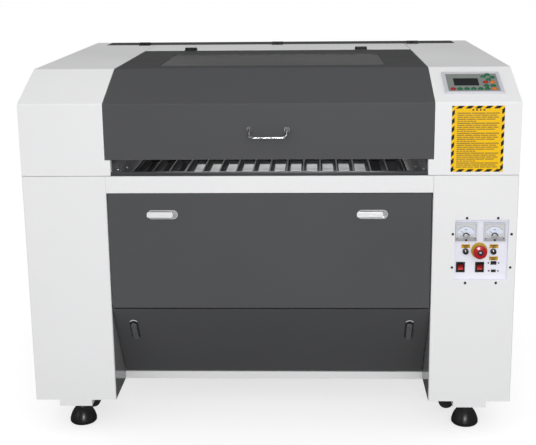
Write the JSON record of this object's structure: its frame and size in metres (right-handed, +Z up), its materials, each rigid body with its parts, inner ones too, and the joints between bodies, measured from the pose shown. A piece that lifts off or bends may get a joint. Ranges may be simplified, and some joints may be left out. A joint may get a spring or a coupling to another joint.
{
  "type": "laser cutter",
  "caption": "Floor-standing CO2 laser cutter with hinged lid, front pass-through slit, two fold-down doors, gantry, laser tube, controller and instrument panel.",
  "frame": {"origin": "centre of the footprint on the floor, midway between the front of the lid handle and the rear end of the exhaust collar", "axes": "+X to the operator's right, +Y to the back, +Z up; the controls and the doors face -Y"},
  "size_m": [1.45, 1.252, 1.115],
  "materials": {
    "white_enamel": "fine textured white powder coat",
    "grey_enamel": "satin dark grey powder coat",
    "smoked_acrylic": "smoked acrylic, gloss",
    "chrome_trim": "bright chrome plate",
    "black_zinc": "black plated steel",
    "foot_rubber": "moulded black rubber",
    "bezel_aluminium": "satin anodised",
    "keypad_film": "printed film, satin",
    "screen_glass": "dark display pane, gloss",
    "meter_plastic": "clear styrene over a white dial",
    "yellow_plastic": "moulded yellow",
    "black_plastic": "moulded black, satin",
    "label_yellow": "printed yellow film",
    "slat_aluminium": "mill finish",
    "rail_steel": "ground steel",
    "tube_glass": "clear borosilicate glass",
    "needle_red": "enamelled needle",
    "red_plastic": "moulded red, gloss",
    "castor_steel": "black plated pressed steel",
    "wheel_rubber": "black rubber wheel"
  },
  "bodies": {
    "cabinet": {"left_pedestal": "white_enamel", "right_pedestal": "white_enamel", "cabinet_frame": "white_enamel", "back_panel": "white_enamel", "scrap_tray": "white_enamel", "left_side_housing": "white_enamel", "right_side_housing": "white_enamel", "rear_housing": "white_enamel", "hinge_bases": "black_zinc", "levelling_feet": "foot_rubber", "control_bezel": "bezel_aluminium", "keypad_overlay": "keypad_film", "control_screen": "screen_glass", "instrument_panel": "white_enamel", "panel_screws": "black_zinc", "meter_cases": "meter_plastic", "estop_collar": "yellow_plastic", "panel_sockets": "black_plastic", "warning_label": "label_yellow", "bed_frame": "grey_enamel", "knife_slats": "slat_aluminium", "y_rails": "rail_steel", "laser_tube": "tube_glass", "tube_mounts": "black_plastic", "y_drive_motor": "black_zinc", "power_supply": "bezel_aluminium", "power_inlet": "black_plastic"},
    "lid": {"main_lid": "grey_enamel", "lid_window": "smoked_acrylic", "lid_handle": "chrome_trim", "lid_hinge_leaves": "black_zinc"},
    "tube_cover": {"rear_cover": "grey_enamel", "rear_cover_hinge_leaves": "black_zinc"},
    "upper_door": {"upper_door": "grey_enamel", "upper_latch_trays": "chrome_trim"},
    "lower_door": {"lower_door": "grey_enamel", "lower_latch_trays": "chrome_trim"},
    "upper_lever_left": {"upper_latch_lever_left": "chrome_trim"},
    "upper_lever_right": {"upper_latch_lever_right": "chrome_trim"},
    "lower_lever_left": {"lower_latch_lever_left": "chrome_trim"},
    "lower_lever_right": {"lower_latch_lever_right": "chrome_trim"},
    "gantry": {"gantry_beam": "slat_aluminium", "x_drive": "black_zinc"},
    "head": {"laser_head": "slat_aluminium"},
    "drive_shaft": {"y_drive_shaft": "rail_steel"},
    "needle_left": {"needle_left": "needle_red"},
    "needle_right": {"needle_right": "needle_red"},
    "estop": {"estop_head": "red_plastic"},
    "knob_left": {"knob_left": "black_plastic"},
    "knob_right": {"knob_right": "black_plastic"},
    "rocker_left": {"rocker_left": "red_plastic"},
    "rocker_right": {"rocker_right": "red_plastic"},
    "castor_fork_front_left": {"castor_fork_front_left": "castor_steel"},
    "castor_wheel_front_left": {"castor_wheel_front_left": "wheel_rubber"},
    "castor_fork_front_right": {"castor_fork_front_right": "castor_steel"},
    "castor_wheel_front_right": {"castor_wheel_front_right": "wheel_rubber"},
    "castor_fork_rear_left": {"castor_fork_rear_left": "castor_steel"},
    "castor_wheel_rear_left": {"castor_wheel_rear_left": "wheel_rubber"},
    "castor_fork_rear_right": {"castor_fork_rear_right": "castor_steel"},
    "castor_wheel_rear_right": {"castor_wheel_rear_right": "wheel_rubber"}
  },
  "joints": [
    {"name": "lid_hinge", "type": "hinge", "parent": "cabinet", "child": "lid", "pos_m": [0, 0.218, 1.11], "axis": [-1, 0, 0], "range_deg": [0, 75]},
    {"name": "tube_cover_hinge", "type": "hinge", "parent": "cabinet", "child": "tube_cover", "pos_m": [0, 0.461, 1.11], "axis": [1, 0, 0], "range_deg": [0, 95]},
    {"name": "upper_door_hinge", "type": "hinge", "parent": "cabinet", "child": "upper_door", "pos_m": [0, -0.585, 0.41], "axis": [1, 0, 0], "range_deg": [0, 95]},
    {"name": "lower_door_hinge", "type": "hinge", "parent": "cabinet", "child": "lower_door", "pos_m": [0, -0.418, 0.1415], "axis": [1, 0, 0], "range_deg": [0, 70]},
    {"name": "upper_lever_left_turn", "type": "hinge", "parent": "upper_door", "child": "upper_lever_left", "pos_m": [-0.347, -0.59, 0.697], "axis": [0, 1, 0], "range_deg": [0, 90]},
    {"name": "upper_lever_right_turn", "type": "hinge", "parent": "upper_door", "child": "upper_lever_right", "pos_m": [0.2695, -0.59, 0.697], "axis": [0, 1, 0], "range_deg": [0, 90]},
    {"name": "lower_lever_left_turn", "type": "hinge", "parent": "lower_door", "child": "lower_lever_left", "pos_m": [-0.42, -0.52005, 0.29324], "axis": [0, 0.8455, 0.534], "range_deg": [0, 90]},
    {"name": "lower_lever_right_turn", "type": "hinge", "parent": "lower_door", "child": "lower_lever_right", "pos_m": [0.42, -0.52005, 0.29324], "axis": [0, -0.8455, -0.534], "range_deg": [0, 90]},
    {"name": "gantry_slide", "type": "slide", "parent": "cabinet", "child": "gantry", "axis": [0, -1, 0], "range_m": [0, 0.6]},
    {"name": "head_slide", "type": "slide", "parent": "gantry", "child": "head", "axis": [1, 0, 0], "range_m": [0, 0.86]},
    {"name": "drive_shaft_turn", "type": "hinge", "parent": "cabinet", "child": "drive_shaft", "pos_m": [0, 0.395, 0.86], "axis": [1, 0, 0], "range_deg": [0, 2160]},
    {"name": "needle_left_swing", "type": "hinge", "parent": "cabinet", "child": "needle_left", "pos_m": [0.5775, -0.584, 0.6295], "axis": [0, 1, 0], "range_deg": [0, 90], "stiffness_Nm_per_rad": 0.0002},
    {"name": "needle_right_swing", "type": "hinge", "parent": "cabinet", "child": "needle_right", "pos_m": [0.661, -0.584, 0.6295], "axis": [0, 1, 0], "range_deg": [0, 90], "stiffness_Nm_per_rad": 0.0002},
    {"name": "estop_push", "type": "slide", "parent": "cabinet", "child": "estop", "axis": [0, 1, 0], "range_m": [0, 0.004]},
    {"name": "knob_left_turn", "type": "hinge", "parent": "cabinet", "child": "knob_left", "pos_m": [0.578, -0.578, 0.5815], "axis": [0, 1, 0], "range_deg": [0, 270]},
    {"name": "knob_right_turn", "type": "hinge", "parent": "cabinet", "child": "knob_right", "pos_m": [0.6595, -0.578, 0.5815], "axis": [0, 1, 0], "range_deg": [0, 270]},
    {"name": "rocker_left_tip", "type": "hinge", "parent": "cabinet", "child": "rocker_left", "pos_m": [0.5643, -0.577, 0.5327], "axis": [1, 0, 0], "range_deg": [-16, 0]},
    {"name": "rocker_right_tip", "type": "hinge", "parent": "cabinet", "child": "rocker_right", "pos_m": [0.6208, -0.577, 0.5327], "axis": [1, 0, 0], "range_deg": [-16, 0]},
    {"name": "castor_front_left_swivel", "type": "hinge", "parent": "cabinet", "child": "castor_fork_front_left", "pos_m": [-0.575, -0.397, 0.1], "axis": [0, 0, 1], "continuous": true},
    {"name": "castor_front_left_roll", "type": "hinge", "parent": "castor_fork_front_left", "child": "castor_wheel_front_left", "pos_m": [-0.593, -0.397, 0.027], "axis": [0, 1, 0], "continuous": true},
    {"name": "castor_front_right_swivel", "type": "hinge", "parent": "cabinet", "child": "castor_fork_front_right", "pos_m": [0.575, -0.397, 0.1], "axis": [0, 0, 1], "continuous": true},
    {"name": "castor_front_right_roll", "type": "hinge", "parent": "castor_fork_front_right", "child": "castor_wheel_front_right", "pos_m": [0.557, -0.397, 0.027], "axis": [0, 1, 0], "continuous": true},
    {"name": "castor_rear_left_swivel", "type": "hinge", "parent": "cabinet", "child": "castor_fork_rear_left", "pos_m": [-0.575, 0.397, 0.1], "axis": [0, 0, 1], "continuous": true},
    {"name": "castor_rear_left_roll", "type": "hinge", "parent": "castor_fork_rear_left", "child": "castor_wheel_rear_left", "pos_m": [-0.593, 0.397, 0.027], "axis": [0, 1, 0], "continuous": true},
    {"name": "castor_rear_right_swivel", "type": "hinge", "parent": "cabinet", "child": "castor_fork_rear_right", "pos_m": [0.575, 0.397, 0.1], "axis": [0, 0, 1], "continuous": true},
    {"name": "castor_rear_right_roll", "type": "hinge", "parent": "castor_fork_rear_right", "child": "castor_wheel_rear_right", "pos_m": [0.557, 0.397, 0.027], "axis": [0, 1, 0], "continuous": true}
  ],
  "couplings": [
    {"joint": "drive_shaft_turn", "follows": "gantry_slide", "rad_per_m": 62.5}
  ]
}
